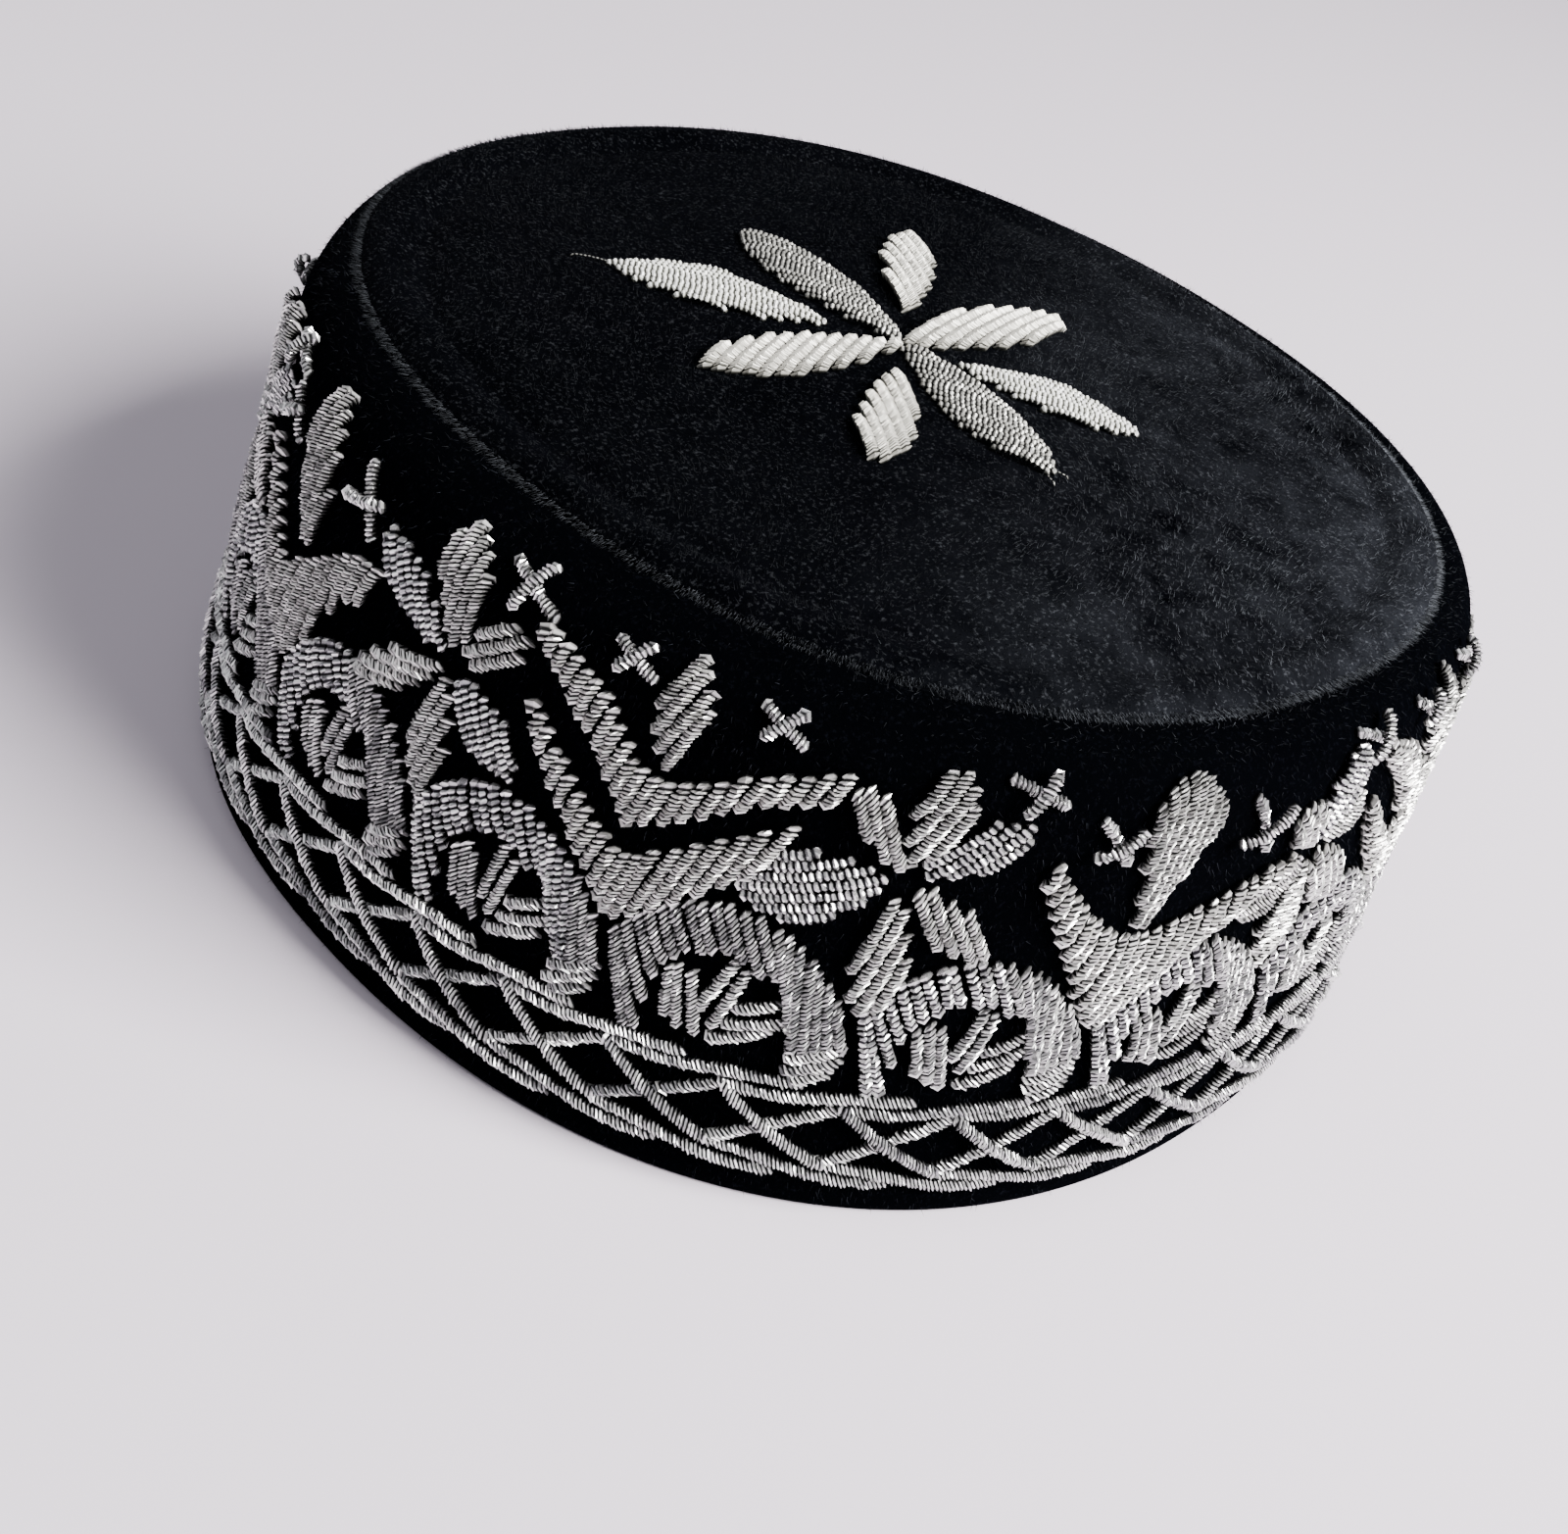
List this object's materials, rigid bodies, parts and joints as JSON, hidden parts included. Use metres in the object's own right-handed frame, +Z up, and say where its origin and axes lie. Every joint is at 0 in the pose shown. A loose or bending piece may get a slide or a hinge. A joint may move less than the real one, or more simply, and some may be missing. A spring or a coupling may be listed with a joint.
{
  "type": "embroidered velvet pillbox cap",
  "caption": "Brimless oval cap with upright velvet wall, rolled rim, slightly domed crown and raised floral metal-thread embroidery.",
  "frame": {"origin": "centre of the bounding box's bottom face, in the plane of the hem", "axes": "+Z up through the crown, +X along the longer way of the oval"},
  "size_m": [0.1982, 0.1852, 0.0807],
  "materials": {
    "band_velvet": "blue-black cotton velvet, short pile",
    "crown_velvet": "blue-black cotton velvet, brushed pile",
    "braid_thread": "silver-coloured metal purl laid as a rope",
    "chevron_thread": "silver-coloured metal purl laid side by side",
    "leaf_thread": "silver-coloured metal purl laid side by side",
    "arch_thread": "silver-coloured metal purl laid side by side",
    "flower_thread": "silver-coloured rough and check purl",
    "crown_flower_thread": "silver-coloured rough purl",
    "crown_petal_thread": "bright silver-coloured check purl"
  },
  "bodies": {
    "root": {"side_band": "band_velvet", "crown_panel": "crown_velvet", "lower_braid": "braid_thread", "upper_braid": "braid_thread", "chevron_1_broad": "chevron_thread", "chevron_2_upper": "chevron_thread", "chevron_2_lower": "chevron_thread", "chevron_3_broad": "chevron_thread", "chevron_4_upper": "chevron_thread", "chevron_4_lower": "chevron_thread", "chevron_5_broad": "chevron_thread", "chevron_6_upper": "chevron_thread", "chevron_6_lower": "chevron_thread", "chevron_7_broad": "chevron_thread", "chevron_8_upper": "chevron_thread", "chevron_8_lower": "chevron_thread", "chevron_9_broad": "chevron_thread", "leaf_1": "leaf_thread", "leaf_2": "leaf_thread", "leaf_3": "leaf_thread", "leaf_4": "leaf_thread", "leaf_5": "leaf_thread", "leaf_6": "leaf_thread", "leaf_7": "leaf_thread", "leaf_8": "leaf_thread", "leaf_9": "leaf_thread", "arch_1": "arch_thread", "arch_2": "arch_thread", "arch_3": "arch_thread", "arch_4": "arch_thread", "arch_5": "arch_thread", "arch_6": "arch_thread", "arch_7": "arch_thread", "arch_8": "arch_thread", "arch_9": "arch_thread", "arch_10": "arch_thread", "arch_11": "arch_thread", "arch_12": "arch_thread", "arch_13": "arch_thread", "arch_14": "arch_thread", "arch_15": "arch_thread", "arch_16": "arch_thread", "arch_17": "arch_thread", "arch_18": "arch_thread", "flower_1": "flower_thread", "flower_2": "flower_thread", "flower_3": "flower_thread", "flower_4": "flower_thread", "flower_5": "flower_thread", "flower_6": "flower_thread", "flower_7": "flower_thread", "flower_8": "flower_thread", "flower_9": "flower_thread", "crown_star": "crown_flower_thread", "crown_petal_1": "crown_petal_thread", "crown_petal_2": "crown_petal_thread", "crown_petal_3": "crown_petal_thread", "crown_petal_4": "crown_petal_thread"}
  },
  "joints": []
}
